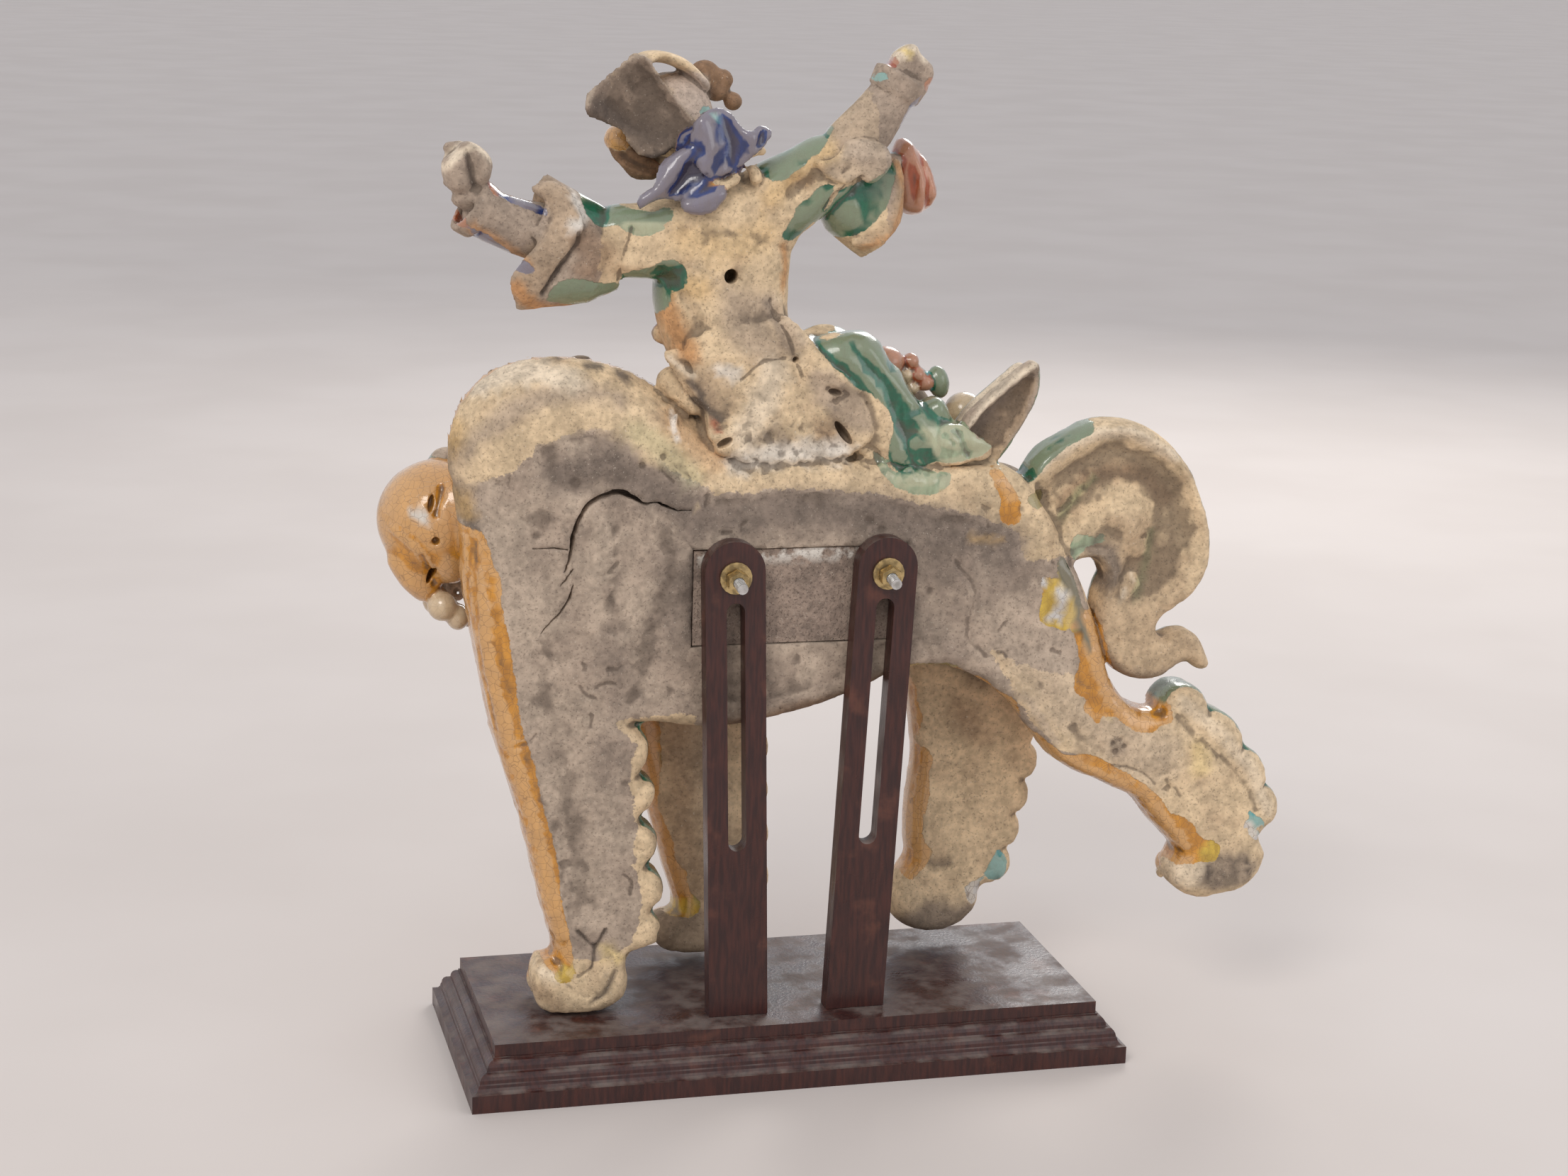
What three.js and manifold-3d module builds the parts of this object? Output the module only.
// Glazed terracotta ridge figure: a warrior riding a guardian lion, bolted to a moulded wooden stand.
// Millimetres, +Z up. The bare flat back of the figure faces -Y, its glazed front faces +Y and the
// lion's head points to -X. The origin is the middle of the underside of the wooden base.

import * as THREE from 'three';
import { mergeVertices } from 'three/addons/utils/BufferGeometryUtils.js';
import Module from 'manifold-3d';

const wasm = await Module();
wasm.setup();

// Driving dimensions of the wooden base
const SLAB_LENGTH = 362;
const SLAB_DEPTH = 140;
const BASE_HEIGHT = 34.6;
const SLAB_THICKNESS = 7.3;
const PLINTH_OVERHANG = 15;
const PLINTH_BAND = 10.5;

// Driving dimensions of the two slotted uprights
const UPRIGHT_WIDTH = 35;
const UPRIGHT_THICKNESS = 11.5;
const UPRIGHT_HEIGHT = 284;
const UPRIGHT_FRONT_Y = -52.7;
const UPRIGHT_FOOT_X = { left: -34.9, right: 35.7 };
const UPRIGHT_LEAN_DEG = { left: -1.7, right: 2.4 };
const SLOT_WIDTH = 10.7;
const SLOT_BOTTOM = 101;
const SLOT_TOP = 248.5;

// Driving dimensions of the quarter-inch fastenings
const BOLT_HEIGHT = 263.3;
const ROD_DIAMETER = 6.35;
const ROD_DROOP_DEG = 8;
const ROD_FREE_END = 18;
const ROD_BURIED_END = 30;
const WASHER_DIAMETER = 18.6;
const WASHER_THICKNESS = 1.5;
const NUT_ACROSS_FLATS = 11.1;
const NUT_THICKNESS = 5.6;

// Driving dimensions of the fired figure
const BACK_Y = -40;
const NEAR_LEG_Y = [-37, -5];
const FAR_LEG_Y = [27, 58];
const TRUNK_MIDDLE_Y = 20;
const TRUNK_FRONT_Y = 50;
const VENT_RADIUS = 4.2;

// Driving dimensions of the mortar fill in the lion's side
const MORTAR = { left: -64, right: 60, bottom: 256, top: 311, depth: 24, sunk: 1 };
const SEAM = 0.6;

// Clearance kept between separate pieces that touch
const GAP = 0.3;

// Facets round and up a small knob or curl
const SMALL = 5;
const SMALL_HIGH = 3;

const vec = (x, y, z) => new THREE.Vector3(x, y, z);

// Closed solid of a three.js geometry, with its shared vertices merged
function solid(geometry) {
  const bare = geometry.clone();
  bare.deleteAttribute('normal');
  bare.deleteAttribute('uv');
  const merged = mergeVertices(bare, 1e-4);
  const index = merged.index.array;
  const kept = [];
  for (let i = 0; i < index.length; i += 3) {
    const [a, b, c] = [index[i], index[i + 1], index[i + 2]];
    if (a !== b && b !== c && c !== a) {
      kept.push(a, b, c);
    }
  }
  return new wasm.Manifold(new wasm.Mesh({
    numProp: 3,
    vertProperties: new Float32Array(merged.attributes.position.array),
    triVerts: new Uint32Array(kept),
  }));
}

// three.js geometry of a finished solid
function geometryOf(manifold) {
  const mesh = manifold.getMesh();
  const stride = mesh.numProp;
  const positions = [];
  for (let i = 0; i < mesh.vertProperties.length; i += stride) {
    positions.push(mesh.vertProperties[i], mesh.vertProperties[i + 1], mesh.vertProperties[i + 2]);
  }
  const geometry = new THREE.BufferGeometry();
  geometry.setAttribute('position', new THREE.Float32BufferAttribute(positions, 3));
  geometry.setIndex([...mesh.triVerts]);
  geometry.computeVertexNormals();
  return geometry;
}

const joined = (pieces) => pieces.reduce((whole, piece) => whole.add(piece));

// Rectangular block between two corners
function block(low, high) {
  const size = high.map((value, axis) => value - low[axis]);
  const geometry = new THREE.BoxGeometry(...size);
  geometry.translate(...low.map((value, axis) => value + size[axis] / 2));
  return solid(geometry);
}

// Ellipsoid, turned by tilt degrees in the plane of the back
function blob(centre, radii, tilt = 0, around = 8, high = 4) {
  const geometry = new THREE.SphereGeometry(1, around, high);
  geometry.scale(...radii);
  geometry.rotateY(-THREE.MathUtils.degToRad(tilt));
  geometry.translate(...centre);
  return solid(geometry);
}

// Smooth closed line through points [x, z] of the plane of the back
function smoothOutline(points, steps = 1) {
  const knots = points.map(([x, z]) => vec(x, z, 0));
  const curve = new THREE.CatmullRomCurve3(knots, true, 'centripetal');
  return curve.getPoints(points.length * steps).slice(0, -1).map((p) => [p.x, p.y]);
}

// Flat-backed slab of an outline, between two depths, with rounded edges
function slab(outline, [backY, frontY], round, roundSteps = 1) {
  const shape = new THREE.Shape(outline.map(([x, z]) => new THREE.Vector2(x, z)));
  const geometry = new THREE.ExtrudeGeometry(shape, {
    depth: frontY - backY - 2 * round,
    bevelEnabled: true,
    bevelThickness: round,
    bevelSize: round,
    bevelOffset: -round,
    bevelSegments: roundSteps,
  });
  geometry.rotateX(Math.PI / 2);
  geometry.translate(0, frontY - round, 0);
  return solid(geometry);
}

// The same outline drawn smaller about a point
function shrunk(outline, [middleX, middleZ], share) {
  return outline.map(([x, z]) => [middleX + (x - middleX) * share, middleZ + (z - middleZ) * share]);
}

// Round clay roll along a curve; radii are [across, deep] at each point
function limb(points, radii, sides = 7, rings = 4) {
  const curve = new THREE.CatmullRomCurve3(points.map((p) => vec(...p)), false, 'centripetal');
  const geometry = new THREE.CylinderGeometry(1, 1, 1, sides, rings);
  const position = geometry.attributes.position;
  const last = radii.length - 1;
  for (let i = 0; i < position.count; i += 1) {
    const t = position.getY(i) + 0.5;
    const tangent = curve.getTangent(t);
    const across = new THREE.Vector3().crossVectors(tangent, vec(0, 1, 0)).normalize();
    const deep = new THREE.Vector3().crossVectors(across, tangent);
    const span = Math.min(Math.floor(t * last), last - 1);
    const share = t * last - span;
    const ends = 1 - 0.45 * Math.max(0, 1 - rings * Math.min(t, 1 - t));
    const wide = THREE.MathUtils.lerp(radii[span][0], radii[span + 1][0], share) * ends;
    const thick = THREE.MathUtils.lerp(radii[span][1], radii[span + 1][1], share) * ends;
    const at = curve.getPoint(t);
    at.addScaledVector(across, position.getX(i) * wide);
    at.addScaledVector(deep, position.getZ(i) * thick);
    position.setXYZ(i, at.x, at.y, at.z);
  }
  return solid(geometry);
}

// Open trumpet with a wall, from a lathe profile of [radius, distance along the axis]
function trumpet(base, mouth, profile, flatness, around = 9) {
  const closed = [...profile, profile[0]].map(([r, h]) => new THREE.Vector2(r, h));
  const geometry = new THREE.LatheGeometry(closed, around);
  geometry.scale(1, 1, flatness);
  const direction = vec(...mouth).sub(vec(...base)).normalize();
  const side = new THREE.Vector3().crossVectors(direction, vec(0, 1, 0)).normalize();
  const deep = new THREE.Vector3().crossVectors(side, direction);
  geometry.applyMatrix4(new THREE.Matrix4().makeBasis(side, direction, deep));
  geometry.translate(...base);
  return solid(geometry);
}

// Row of half-round lobes from one point [x, z] to another; side is +1 to the right of the way
function lobes(from, to, count, height, side, steps = 3) {
  const way = new THREE.Vector2(to[0] - from[0], to[1] - from[1]);
  const out = new THREE.Vector2(way.y, -way.x).normalize().multiplyScalar(side * height);
  const points = [];
  for (let lobe = 0; lobe < count; lobe += 1) {
    for (let step = 0; step < steps; step += 1) {
      const turn = (Math.PI * step) / steps;
      const along = (lobe + 0.5 - 0.5 * Math.cos(turn)) / count;
      const bulge = Math.sin(turn);
      points.push([from[0] + way.x * along + out.x * bulge, from[1] + way.y * along + out.y * bulge]);
    }
  }
  points.push(to);
  return points;
}

// Round bar between two points
function bar(from, to, radius, around = 12) {
  const a = vec(...from);
  const b = vec(...to);
  const geometry = new THREE.CylinderGeometry(radius, radius, a.distanceTo(b), around);
  const turn = new THREE.Quaternion().setFromUnitVectors(vec(0, 1, 0), b.clone().sub(a).normalize());
  geometry.applyQuaternion(turn);
  geometry.translate(...a.add(b).multiplyScalar(0.5).toArray());
  return solid(geometry);
}

// Wooden base: one moulding profile run along both directions and mitred at the corners
function standBase() {
  const slabBottom = BASE_HEIGHT - SLAB_THICKNESS;
  const profile = [[PLINTH_OVERHANG, 0], [PLINTH_OVERHANG, PLINTH_BAND]];
  const cove = { out: PLINTH_OVERHANG, low: PLINTH_BAND, width: 4.5, rise: 4.2 };
  const arcSteps = 4;
  for (let i = 1; i <= arcSteps; i += 1) {
    const turn = (Math.PI / 2) * (i / arcSteps);
    profile.push([cove.out - cove.width * Math.sin(turn), cove.low + cove.rise * (1 - Math.cos(turn))]);
  }
  const roll = (out, low, width, rise) => {
    for (let i = 0; i <= arcSteps; i += 1) {
      const turn = (Math.PI / 2) * (i / arcSteps);
      profile.push([out - width * (1 - Math.cos(turn)), low + rise * Math.sin(turn)]);
    }
  };
  roll(10, 15.4, 4, 5);
  roll(5.2, 21, 4.2, 5.2);
  profile.push([1, slabBottom]);
  profile.push([0, slabBottom]);
  profile.push([0, BASE_HEIGHT]);
  const run = (halfWidth, halfLength) => {
    const right = profile.map(([out, z]) => new THREE.Vector2(halfWidth + out, z));
    const left = profile.map(([out, z]) => new THREE.Vector2(-halfWidth - out, z)).reverse();
    const length = 2 * (halfLength + PLINTH_OVERHANG + 1);
    const geometry = new THREE.ExtrudeGeometry(new THREE.Shape([...right, ...left]), {
      depth: length,
      bevelEnabled: false,
    });
    geometry.rotateX(Math.PI / 2);
    geometry.translate(0, length / 2, 0);
    return geometry;
  };
  const crossways = run(SLAB_LENGTH / 2, SLAB_DEPTH / 2);
  const lengthways = run(SLAB_DEPTH / 2, SLAB_LENGTH / 2);
  lengthways.rotateZ(Math.PI / 2);
  return solid(crossways).intersect(solid(lengthways));
}

// Place on an upright, from its foot centre: across it, and up along it
function onUpright(side, across, up, y) {
  const lean = THREE.MathUtils.degToRad(UPRIGHT_LEAN_DEG[side]);
  const x = UPRIGHT_FOOT_X[side] + across * Math.cos(lean) + up * Math.sin(lean);
  const z = BASE_HEIGHT + GAP + up * Math.cos(lean) - across * Math.sin(lean);
  return [x, y, z];
}

// Line of a threaded rod through an upright: drooping towards its free end
function rodPoint(side, outwards) {
  const droop = THREE.MathUtils.degToRad(ROD_DROOP_DEG);
  const [x, y, z] = onUpright(side, 0, BOLT_HEIGHT, UPRIGHT_FRONT_Y);
  return [x, y - outwards * Math.cos(droop), z - outwards * Math.sin(droop)];
}

// Slotted, round-topped upright cut square at its foot
function upright(side) {
  const half = UPRIGHT_WIDTH / 2;
  const shape = new THREE.Shape();
  shape.moveTo(-half, -5);
  shape.lineTo(half, -5);
  shape.lineTo(half, UPRIGHT_HEIGHT - half);
  shape.absarc(0, UPRIGHT_HEIGHT - half, half, 0, Math.PI, false);
  const slot = new THREE.Path();
  const slotHalf = SLOT_WIDTH / 2;
  slot.absarc(0, SLOT_TOP - slotHalf, slotHalf, 0, Math.PI, false);
  slot.absarc(0, SLOT_BOTTOM + slotHalf, slotHalf, Math.PI, 2 * Math.PI, false);
  shape.holes.push(slot);
  const geometry = new THREE.ExtrudeGeometry(shape, {
    depth: UPRIGHT_THICKNESS,
    bevelEnabled: false,
    curveSegments: 8,
  });
  geometry.rotateX(Math.PI / 2);
  geometry.translate(0, UPRIGHT_FRONT_Y + UPRIGHT_THICKNESS, 0);
  geometry.rotateY(THREE.MathUtils.degToRad(UPRIGHT_LEAN_DEG[side]));
  geometry.translate(UPRIGHT_FOOT_X[side], 0, BASE_HEIGHT + GAP);
  const below = block([-SLAB_LENGTH, -SLAB_DEPTH, 0], [SLAB_LENGTH, SLAB_DEPTH, BASE_HEIGHT + GAP]);
  const hole = bar(rodPoint(side, 10), rodPoint(side, -20), ROD_DIAMETER / 2 + GAP);
  return solid(geometry).subtract(below).subtract(hole);
}

// Threaded rod, washer and nut on one upright
const stud = (side) => bar(rodPoint(side, ROD_FREE_END), rodPoint(side, -ROD_BURIED_END), ROD_DIAMETER / 2);

function washer(side) {
  const [x, y, z] = onUpright(side, 0, BOLT_HEIGHT, UPRIGHT_FRONT_Y - GAP);
  const disc = bar([x, y, z], [x, y - WASHER_THICKNESS, z], WASHER_DIAMETER / 2, 18);
  return disc.subtract(bar(rodPoint(side, 10), rodPoint(side, -10), ROD_DIAMETER / 2 + GAP));
}

function nut(side) {
  const start = WASHER_THICKNESS + 3 * GAP + 0.5;
  const cornerRadius = NUT_ACROSS_FLATS / Math.sqrt(3);
  const body = bar(rodPoint(side, start), rodPoint(side, start + NUT_THICKNESS), cornerRadius, 6);
  return body.subtract(bar(rodPoint(side, 20), rodPoint(side, -10), ROD_DIAMETER / 2 + GAP));
}

// Lion's trunk: neck hump, saddle and rump in one silhouette, with fuller muscles on the glazed front
function lionTrunk() {
  const silhouette = smoothOutline([
    [-197, 345], [-198, 378], [-184, 404], [-164, 415], [-138, 418], [-108, 415], [-84, 402],
    [-62, 383], [-34, 360], [40, 356], [100, 358], [134, 347], [156, 316], [171, 288], [185, 249],
    [198, 216], [160, 205], [96, 236], [64, 231], [30, 215], [-10, 203], [-54, 198], [-98, 207],
    [-140, 190], [-176, 205], [-187, 265], [-192, 311],
  ]);
  const coarser = silhouette.filter((point, i) => i % 2 === 0);
  return [
    slab(silhouette, [BACK_Y, TRUNK_MIDDLE_Y], 13),
    slab(shrunk(coarser, [-10, 285], 0.86), [0, TRUNK_FRONT_Y], 17),
    blob([-118, 26, 318], [66, 34, 80], 10, 10, 6),
    blob([125, 28, 285], [54, 32, 62], -12, 10, 6),
  ];
}

// Front legs: a plain front edge and a frilled rear edge of round locks
function frontLegOutline(topZ, shift, lobeSteps) {
  const frontEdge = [[-187, topZ], [-184, 245], [-176, 205], [-164, 167], [-155, 133], [-146, 99], [-139, 66]];
  const frill = lobes([-88, 74], [-97, 212], 5, 9, 1, lobeSteps);
  const ends = [[-104, 62], [-92, 66]];
  return [...frontEdge, ...ends, ...frill, [-86, topZ]].map(([x, z]) => [x + shift, z]);
}

function hindLegNear() {
  const valleys = [[226, 203], [258, 201], [281, 176], [297, 152], [301, 127]];
  const heights = [17, 8, 7, 10];
  const frill = heights.flatMap((height, i) => lobes(valleys[i], valleys[i + 1], 1, height, -1).slice(0, -1));
  const outline = [
    [120, 290], [171, 288], [185, 249], [198, 217], [209, 206], ...frill, [303, 112], [284, 96], [258, 100],
    [250, 114], [238, 126], [230, 135], [220, 144], [209, 151], [189, 155], [173, 161], [157, 176],
    [137, 208], [116, 226], [96, 237],
  ];
  return slab(outline, NEAR_LEG_Y, 6);
}

function hindLegFar() {
  const frill = lobes([142, 74], [172, 164], 4, 8, 1, 2);
  const outline = [
    [84, 285], [88, 209], [95, 180], [99, 151], [96, 133], [95, 114], [98, 91], [94, 76], [104, 62],
    [130, 62], ...frill, [186, 210], [170, 285],
  ];
  return slab(outline, FAR_LEG_Y, 6);
}

// Paw: a padded foot with a row of rounded toes along its front
function paw(centre, radii, tilt, toes = 3) {
  const pieces = [blob(centre, radii, tilt)];
  const turn = THREE.MathUtils.degToRad(tilt);
  const toeRadius = radii[1] * 0.42;
  for (let toe = 0; toe < toes; toe += 1) {
    const y = centre[1] + radii[1] * 1.1 * ((toe + 0.5) / toes - 0.5) * 1.5;
    const x = centre[0] - radii[0] * 0.72 * Math.cos(turn);
    const z = centre[2] - radii[2] * 0.28 + radii[0] * 0.72 * Math.sin(turn);
    pieces.push(blob([x, y, z], [toeRadius * 1.5, toeRadius, toeRadius * 1.3], tilt, SMALL, SMALL_HIGH));
  }
  return pieces;
}

function lionLegs() {
  return [
    slab(frontLegOutline(262, 0, 3), NEAR_LEG_Y, 6),
    ...paw([-124, -22, 53], [26, 17, 17.6], -4),
    slab(frontLegOutline(262, 84, 2), FAR_LEG_Y, 6),
    ...paw([-42, 42, 58], [26, 16, 17], -2),
    hindLegNear(),
    ...paw([273, -20, 97], [31, 16, 18], -14),
    hindLegFar(),
    ...paw([117, 43, 60], [28, 16, 18], -6),
  ];
}

// Tail: a broad plume curling down to an S-shaped tip
function lionTail() {
  const outline = smoothOutline([
    [126, 330], [134, 347], [144, 362], [156, 370], [173, 378], [188, 380], [204, 377], [229, 361],
    [246, 334], [254, 306], [252, 288], [244, 274], [224, 258], [223, 252], [231, 249], [247, 248],
    [258, 230], [251, 227], [238, 229], [219, 221], [207, 223], [195, 231], [187, 243], [184, 258],
    [185, 274], [187, 286], [182, 295], [173, 296], [160, 290],
  ]);
  const dish = blob([208, -40, 318], [32, 9, 34], 20);
  return slab(outline, [-34, -2], 3).subtract(dish);
}

// Lion's head: turned to the glazed front, with muzzle, brows, ears, mane curls and beard
function lionHead() {
  const faceX = -184;
  const pieces = [
    blob([-197, 38, 316], [36, 34, 34], 20, 10, 6),
    limb([[-172, 5, 330], [-178, 25, 322], [faceX, 45, 312]], [[40, 34], [38, 30], [34, 28]]),
    blob([faceX, 74, 302], [22, 15, 15]),
    blob([faceX, 68, 284], [18, 14, 9]),
    blob([faceX, 86, 310], [10, 7, 7], 0, SMALL, SMALL_HIGH),
    limb([[-222, 32, 302], [-210, 30, 282], [-200, 30, 268]], [[10, 12], [10, 12], [8, 9]], 6, 3),
    blob([-198, 24, 269], [9.5, 10, 9.5]),
    blob([-191, 24, 260], [8, 9, 8], 0, SMALL, SMALL_HIGH),
    blob([-199, 42, 268], [9, 9, 9], 0, SMALL, SMALL_HIGH),
  ];
  for (const side of [-1, 1]) {
    pieces.push(blob([faceX + side * 14, 64, 320], [8, 8, 8], 0, SMALL, SMALL_HIGH));
    pieces.push(blob([faceX + side * 16, 64, 332], [11, 7, 5], side * 18, SMALL, SMALL_HIGH));
    pieces.push(blob([faceX + side * 32, 44, 330], [9, 7, 13], side * 20, SMALL, SMALL_HIGH));
  }
  const curls = 7;
  const curlRing = { x: -172, y: 50, z: 308, across: 42, up: 42 };
  for (let curl = 0; curl < curls; curl += 1) {
    const turn = Math.PI * (0.02 + 0.96 * (curl / (curls - 1)));
    const at = [curlRing.x + curlRing.across * Math.cos(turn), curlRing.y, curlRing.z + curlRing.up * Math.sin(turn)];
    pieces.push(blob(at, [12, 13, 12], 0, SMALL, SMALL_HIGH));
  }
  return pieces;
}

// Rider's seat: hips, the skirt over the right thigh and the raised boot behind it
function riderSeat() {
  const boot = smoothOutline([
    [92, 350], [86, 368], [93, 390], [106, 404], [119, 410], [131, 414], [140, 417], [145, 406], [141, 391],
    [134, 372], [125, 356], [115, 348],
  ]);
  const skirtPanel = smoothOutline([
    [28, 376], [44, 388], [62, 384], [84, 388], [96, 372], [97, 352], [70, 352], [40, 354],
  ]);
  return [
    blob([-8, -2, 378], [50, 36, 44], 8),
    limb([[-14, -2, 412], [18, -8, 402], [44, -10, 384], [60, -10, 362]], [[24, 27], [24, 26], [20, 24], [20, 20]]),
    slab(skirtPanel, [-30, -8], 5),
    slab(boot, [-26, -2], 5).subtract(blob([119, -30, 384], [12, 10, 24], -28)),
    blob([20, 0, 402], [27, 27, 32], 0, 10, 6),
    blob([10, 22, 385], [30, 26, 30]),
  ];
}

// Rider's far leg, hanging over the glazed side in a boot with an upturned toe
function riderFarLeg() {
  return [
    limb([[-20, 10, 385], [-48, 42, 372], [-72, 60, 346]], [[24, 22], [21, 19], [16, 16]]),
    limb([[-72, 60, 350], [-66, 64, 322], [-60, 66, 294]], [[16, 15], [14, 14], [12, 13]]),
    limb([[-50, 66, 288], [-68, 67, 284], [-92, 68, 286]], [[11, 12], [11, 12], [7, 8]]),
  ];
}

// Saddle cloth on the glazed side, with beads along the cantle
function saddle() {
  const cloth = smoothOutline([[-40, 362], [50, 362], [62, 300], [40, 262], [6, 250], [-26, 262], [-46, 300]]);
  return [
    slab(cloth, [46, 66], 4),
    limb([[48, -4, 366], [60, 22, 396], [88, 30, 372]], [[12, 16], [12, 16], [14, 18]]),
    blob([58, 12, 398], [15, 15, 16], -30),
    blob([64, 20, 413], [9, 9, 9.5], 0),
    blob([110, 18, 378], [11.5, 12, 11.5], 0),
    limb([[86, 10, 352], [96, 14, 366], [108, 18, 376]], [[12, 12], [9, 9], [6, 8]], 7, 4),
    blob([82, 18, 396], [7, 8, 6], 0, SMALL, SMALL_HIGH),
    blob([89, 18, 386], [6, 8, 6], 0, SMALL, SMALL_HIGH),
  ];
}

// Sash knotted at the left hip: two broad curled leaves of clay
function sash() {
  const leaf = smoothOutline([
    [-79, 422], [-66, 420], [-52, 412], [-40, 403], [-35, 392], [-42, 381], [-50, 382], [-58, 391], [-70, 406],
  ]);
  return [
    slab(leaf, [-36, -24], 3),
    limb([[-72, -4, 410], [-64, -14, 396], [-50, -20, 384]], [[9, 9], [9, 9], [8, 8]], 7, 4),
    slab(smoothOutline([[-53, 384], [-38, 386], [-32, 376], [-40, 366], [-52, 368]]), [-38, -22], 3),
  ];
}

function riderTorso() {
  return [
    limb(
      [[-28, -2, 396], [-36, -4, 424], [-43, -5, 452], [-42, -6, 480], [-38, -6, 505]],
      [[34, 30], [36, 30], [39, 31], [38, 30], [30, 24]],
      10,
    ),
    blob([-40, -6, 496], [42, 27, 24], -14),
    limb([[-44, -6, 505], [-54, -4, 520], [-64, 0, 536]], [[20, 18], [17, 17], [17, 17]]),
    blob([-44, 18, 470], [30, 14, 30]),
    limb([[-76, 0, 428], [-62, 24, 420], [-32, 32, 414], [-2, 22, 420]], [[6, 6], [7, 7], [7, 7], [6, 6]], 6, 4),
  ];
}

// Left arm stretched to the lion's head side: hanging sleeve, forearm, cuff and fist
function leftArm() {
  const sleeveProfile = [[17, 0], [27, 16], [37, 50], [32, 50], [22, 20], [10, 8]];
  return [
    limb([[-46, -8, 492], [-84, -14, 484], [-124, -15, 484]], [[23, 21], [22, 20], [22, 20]]),
    trumpet([-102, -14, 473], [-151, -14, 482], sleeveProfile, 0.62),
    limb([[-112, -15, 484], [-150, -17, 488], [-176, -18, 496], [-192, -19, 505]],
      [[17, 15], [16, 15], [14.5, 14], [12.5, 12.5]]),
    limb([[-186, -19, 499], [-196, -19, 508]], [[16, 15], [17, 16]], 8, 2),
    limb([[-190, -19, 504], [-193, -20, 516], [-190, -20, 528], [-186, -20, 536]],
      [[11, 11], [13, 13], [13, 13], [9, 10]], 8, 4),
    blob([-181, -23, 526], [5, 9, 10], -8, SMALL, SMALL_HIGH),
  ];
}

// Right arm raised: hanging sleeve with its red lining, forearm, cuff and the broken wrist
function rightArm() {
  const sleeveProfile = [[14, 0], [24, 12], [28, 36], [24, 36], [18, 14], [10, 6]];
  return [
    limb([[-34, -8, 496], [-8, -13, 510], [28, -15, 534]], [[24, 21], [23, 20], [20, 18]]),
    limb([[18, -14, 524], [34, -16, 542], [48, -16, 562], [58, -16, 578]],
      [[18, 16], [17, 16], [14.5, 14], [12.5, 12.5]]),
    limb([[54, -16, 570], [60, -16, 580]], [[15.5, 15], [16, 15]], 8, 2),
    limb([[57, -16, 574], [64, -16, 590]], [[9, 9], [7, 7]], 7, 2),
    trumpet([14, -6, 510], [48, -2, 506], sleeveProfile, 0.7),
    blob([62, 4, 518], [20, 12, 24], -24),
    slab(smoothOutline([[2, 524], [18, 540], [48, 540], [53, 524], [36, 514], [16, 514]]), [-34, -16], 4),
  ];
}

// Rider's head under a helmet with a flared, ribbed brim and a neck guard
function riderHead() {
  const fan = [
    [-70, 541], [-68, 549], [-77, 564], [-88, 576], [-98, 586],
    ...lobes([-101, 586], [-125, 562], 6, 2.5, 1, 2),
    [-121, 555], [-107, 551], [-99, 543], [-90, 536], [-80, 536],
  ];
  const cheekFlap = smoothOutline([
    [-110, 544], [-108, 531], [-102, 524], [-96, 516], [-84, 515], [-76, 526], [-88, 545],
  ]);
  return [
    blob([-72, 2, 550], [21, 22, 25], 22),
    blob([-80, 20, 541], [18, 14, 23], 12),
    blob([-75, 14, 562], [21, 20, 14], 12),
    blob([-83, 35, 540], [4, 4.5, 6], 8, SMALL, SMALL_HIGH),
    blob([-74, 30, 550], [14, 5, 3], 8, SMALL, SMALL_HIGH),
    blob([-86, 31, 530], [7, 5, 3], 8, SMALL, SMALL_HIGH),
    slab(fan, [-24, -15], 2, 1),
    limb([[-104, -12, 577], [-88, 0, 584], [-70, 8, 580], [-52, 4, 565]], [[5, 14], [5, 16], [5, 14], [6, 10]], 6, 4),
    limb([[-100, 4, 572], [-94, 24, 572], [-76, 34, 574], [-58, 22, 572]], [[9, 4], [10, 4], [10, 4], [8, 4]], 6, 4),
    blob([-54, 10, 570], [11, 9, 12], 30, SMALL, SMALL_HIGH),
    blob([-44, 10, 560], [9, 8, 8], 0, SMALL, SMALL_HIGH),
    slab(cheekFlap, [4, 18], 3),
  ];
}

// Scarf over the nape: an upper wing with a raised right tip, and a lower wing down to the left
function scarf() {
  const upper = smoothOutline([
    [-70, 552], [-61, 558], [-50, 552], [-38, 544], [-24, 549], [-21, 543], [-29, 529], [-42, 521], [-57, 516],
    [-68, 526],
  ]);
  const lower = smoothOutline([
    [-62, 540], [-79, 536], [-89, 529], [-96, 512], [-103, 503], [-96, 500], [-72, 505], [-56, 503], [-48, 516],
  ]);
  return [
    slab(upper, [-36, -14], 2.5),
    slab(lower, [-34, -12], 2.5),
    slab(smoothOutline([[-72, 508], [-66, 498], [-52, 502], [-44, 514], [-58, 514]]), [-37, -22], 2),
    blob([-27, -20, 526], [6, 8, 9], 20, SMALL, SMALL_HIGH),
  ];
}

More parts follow.
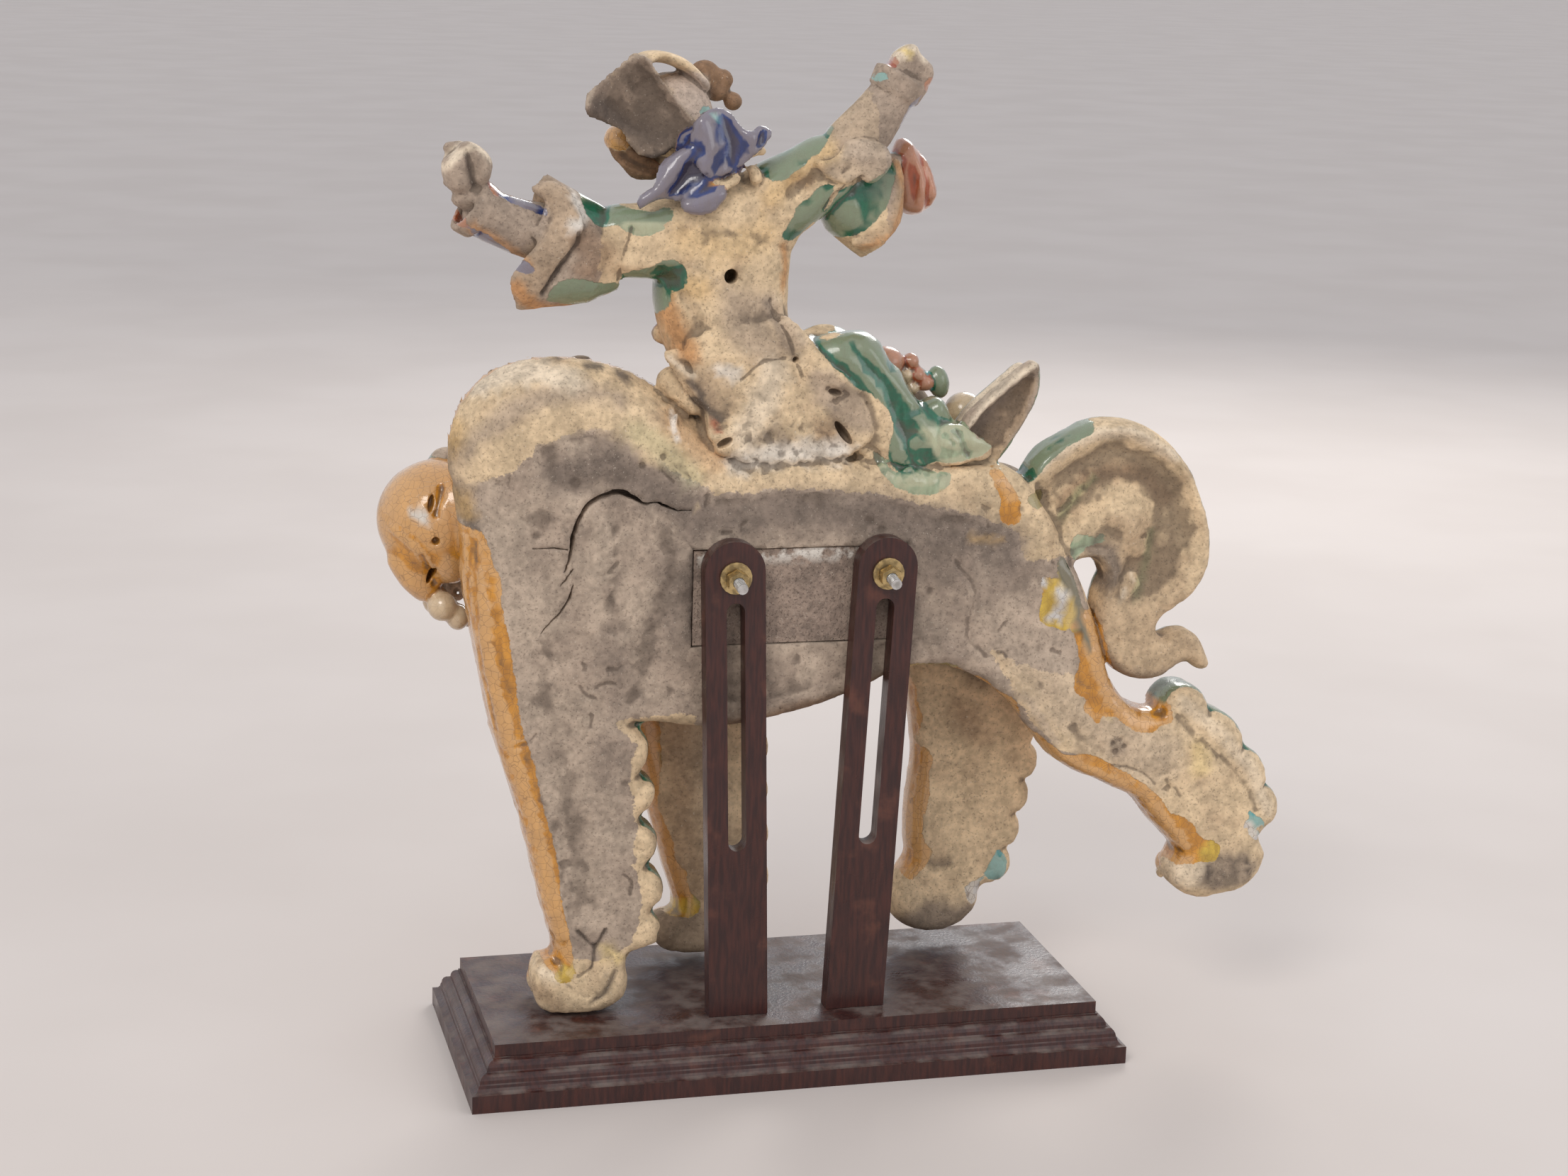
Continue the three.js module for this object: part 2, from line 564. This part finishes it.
// Firing crack in the lion's shoulder: a bent blade, widest at its middle
function shoulderCrack() {
  const line = [[-136, 303], [-134, 317], [-129, 331], [-119, 341], [-108, 346], [-96, 343], [-80, 337]];
  const curve = new THREE.CatmullRomCurve3(line.map(([x, z]) => vec(x, z, 0)));
  const widest = 1.8;
  const narrowest = 0.3;
  const steps = 12;
  const upperSide = [];
  const lowerSide = [];
  for (let i = 0; i <= steps; i += 1) {
    const at = curve.getPoint(i / steps);
    const tangent = curve.getTangent(i / steps);
    const half = narrowest + (widest - narrowest) * Math.sin((Math.PI * i) / steps);
    upperSide.push(new THREE.Vector2(at.x - tangent.y * half, at.y + tangent.x * half));
    lowerSide.unshift(new THREE.Vector2(at.x + tangent.y * half, at.y - tangent.x * half));
  }
  const depth = 24;
  const geometry = new THREE.ExtrudeGeometry(new THREE.Shape([...upperSide, ...lowerSide]), {
    depth,
    bevelEnabled: false,
  });
  geometry.rotateX(Math.PI / 2);
  geometry.translate(0, BACK_Y + depth / 2, 0);
  return solid(geometry);
}

// Fired figure: everything pressed together, shaved flat at the back, then cut and pierced
function warriorOnLion() {
  const clay = joined([
    ...lionTrunk(), ...lionLegs(), lionTail(), ...lionHead(),
    ...riderSeat(), ...riderFarLeg(), ...saddle(), ...sash(), ...riderTorso(),
    ...leftArm(), ...rightArm(), ...riderHead(), ...scarf(),
  ]);
  const behindBack = block([-400, -200, 0], [400, BACK_Y, 700]);
  const recess = block(
    [MORTAR.left - SEAM, BACK_Y - 5, MORTAR.bottom - SEAM],
    [MORTAR.right + SEAM, BACK_Y + MORTAR.depth + SEAM, MORTAR.top + SEAM],
  );
  const vent = bar([-43, BACK_Y - 5, 466], [-41, -14, 462], VENT_RADIUS, 10);
  return clay.subtract(behindBack).subtract(recess).subtract(vent).subtract(shoulderCrack());
}

// Mortar block filling the recess, drilled for the two rods
function mortarBlock() {
  const body = block(
    [MORTAR.left, BACK_Y + MORTAR.sunk, MORTAR.bottom],
    [MORTAR.right, BACK_Y + MORTAR.depth, MORTAR.top],
  );
  const holeFor = (side) => bar(rodPoint(side, 0), rodPoint(side, -ROD_BURIED_END - GAP), ROD_DIAMETER / 2 + GAP);
  return body.subtract(holeFor('left')).subtract(holeFor('right'));
}

const FIRED_CLAY = { color: 0xb3977a, roughness: 0.8, metalness: 0 };
const MORTAR_GREY = { color: 0x8a8079, roughness: 0.95, metalness: 0 };
const LACQUERED_WOOD = { color: 0x2a1210, roughness: 0.35, metalness: 0 };
const ZINCED_STEEL = { color: 0xb8b8b8, roughness: 0.4, metalness: 1 };
const YELLOW_PASSIVATED = { color: 0x8a6a2c, roughness: 0.45, metalness: 0.9 };

const figure = new THREE.Group();

function addPart(name, manifold, finish) {
  const mesh = new THREE.Mesh(geometryOf(manifold), new THREE.MeshStandardMaterial(finish));
  mesh.name = name;
  figure.add(mesh);
}

addPart('warrior_on_lion', warriorOnLion(), FIRED_CLAY);
addPart('mortar_block', mortarBlock(), MORTAR_GREY);
addPart('stand_base', standBase(), LACQUERED_WOOD);
for (const side of ['left', 'right']) {
  addPart(`${side}_upright`, upright(side), LACQUERED_WOOD);
  addPart(`${side}_stud`, stud(side), ZINCED_STEEL);
  addPart(`${side}_washer`, washer(side), YELLOW_PASSIVATED);
  addPart(`${side}_nut`, nut(side), YELLOW_PASSIVATED);
}

export default figure;
